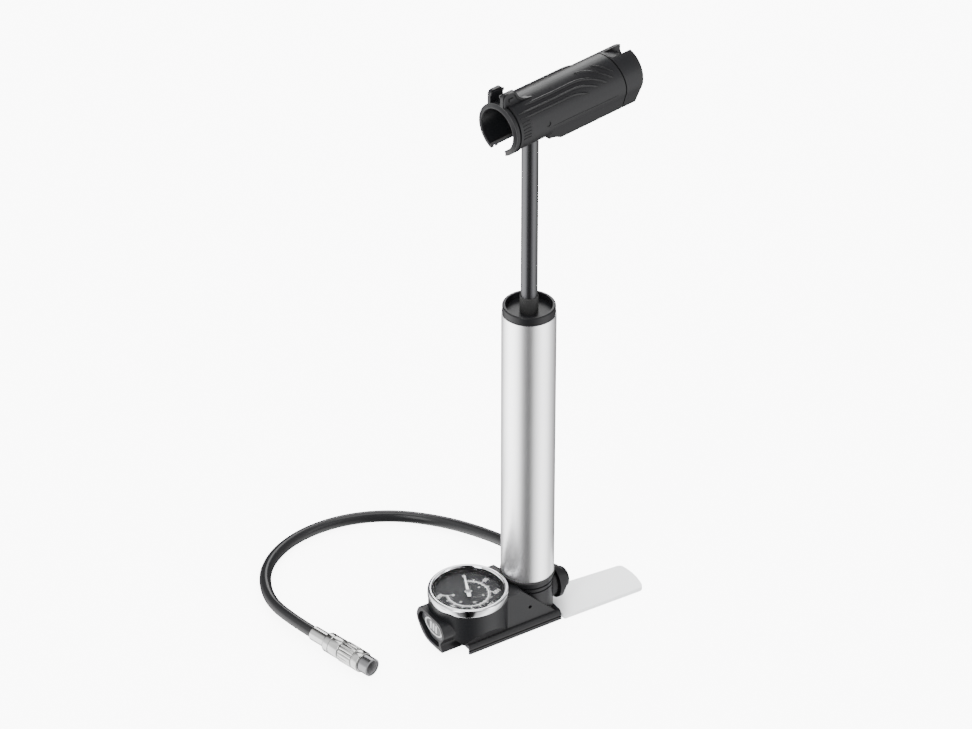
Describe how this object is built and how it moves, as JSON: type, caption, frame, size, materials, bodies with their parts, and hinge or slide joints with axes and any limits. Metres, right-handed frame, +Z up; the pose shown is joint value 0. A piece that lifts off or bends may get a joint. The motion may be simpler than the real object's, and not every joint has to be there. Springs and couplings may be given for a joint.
{
  "type": "shock suspension pump",
  "caption": "Upright hand pump with aluminium barrel, folding T handle, dial pressure gauge in a black base, swing-out foot plate and a short hose with a screw-on chuck.",
  "frame": {"origin": "on the barrel's axis, at floor level, on the underside of the foot plate's hub", "axes": "+Z up along the barrel and rod, +X along the base towards the opened foot plate, +Y to the side the hose leaves from"},
  "size_m": [0.1813, 0.1426, 0.3233],
  "materials": {
    "black_moulding": "satin black moulded nylon",
    "barrel_metal": "fine satin anodised, soft vertical sheen",
    "black_rubber": "black rubber",
    "hose_rubber": "glossy black rubber hose",
    "rod_metal": "dark satin coated tube",
    "steel": "plain steel",
    "chrome_plate": "polished chrome plate",
    "lens_clear": "clear acrylic",
    "dial_print": "dark grey dial, white print",
    "needle_white": "white enamel",
    "brass_metal": "plain brass",
    "plate_silver": "very light silver powder coat",
    "badge": "dark grey moulded face"
  },
  "bodies": {
    "base": {"base_body": "black_moulding", "barrel": "barrel_metal", "barrel_gasket": "black_rubber", "barrel_cap": "black_moulding", "rod_bush": "black_moulding", "rod_wiper": "black_rubber", "gauge_bezel": "chrome_plate", "gauge_lens": "lens_clear", "gauge_dial": "dial_print", "gauge_liner": "black_moulding", "gauge_movement": "brass_metal", "gauge_socket": "brass_metal", "bourdon_tube": "brass_metal", "button_spring": "steel", "release_valve": "brass_metal", "valve_seat": "brass_metal", "valve_spring": "steel", "foot_screw": "steel", "swivel_banjo": "rod_metal", "swivel_bolt": "rod_metal", "inner_washer": "black_rubber", "outer_washer": "black_rubber", "strain_relief": "black_rubber", "hose": "hose_rubber", "hose_ferrule": "chrome_plate"},
    "piston": {"piston": "black_moulding", "piston_ring": "black_rubber"},
    "rod": {"pump_rod": "rod_metal", "rod_foot": "steel", "rod_clip": "steel", "rod_eye": "rod_metal"},
    "handle": {"handle_shell": "black_moulding", "handle_cap": "black_moulding", "hose_clip": "black_moulding", "pivot_pin": "steel"},
    "foot": {"foot_plate": "plate_silver"},
    "needle": {"gauge_needle": "needle_white"},
    "button": {"release_button": "badge"},
    "valve_disc": {"check_valve": "black_rubber"},
    "chuck": {"chuck_sleeve": "chrome_plate", "chuck_core": "chrome_plate", "thumb_ring": "chrome_plate", "chuck_washer": "black_rubber", "valve_pin": "brass_metal"}
  },
  "joints": [
    {"name": "pump_stroke", "type": "slide", "parent": "base", "child": "piston", "axis": [0, 0, 1], "range_m": [-0.084, 0]},
    {"name": "handle_turn", "type": "hinge", "parent": "piston", "child": "rod", "pos_m": [0, 0, 0.2], "axis": [0, 0, 1], "continuous": true},
    {"name": "handle_fold", "type": "hinge", "parent": "rod", "child": "handle", "pos_m": [0, 0, 0.303], "axis": [0.1805, -0.9836, 0], "range_deg": [0, 90]},
    {"name": "foot_swing", "type": "hinge", "parent": "base", "child": "foot", "pos_m": [0.0085, -0.003, 0.001], "axis": [0, 0, 1], "range_deg": [0, 180]},
    {"name": "gauge_needle", "type": "hinge", "parent": "base", "child": "needle", "pos_m": [-0.0366, 0, 0.027], "axis": [0, 0, -1], "range_deg": [0, 270]},
    {"name": "release_button", "type": "slide", "parent": "base", "child": "button", "axis": [1, 0, 0], "range_m": [0, 0.0012], "stiffness_N_per_m": 400, "springref_m": -0.002, "deforming": ["button_spring"]},
    {"name": "outlet_valve", "type": "slide", "parent": "base", "child": "valve_disc", "axis": [0, 0, -1], "range_m": [0, 0.0015], "stiffness_N_per_m": 100, "springref_m": -0.003, "deforming": ["valve_spring"]},
    {"name": "chuck_spin", "type": "hinge", "parent": "base", "child": "chuck", "pos_m": [-0.10354, 0.01693, 0.0059], "axis": [0.2421, -0.9703, 0], "continuous": true}
  ]
}
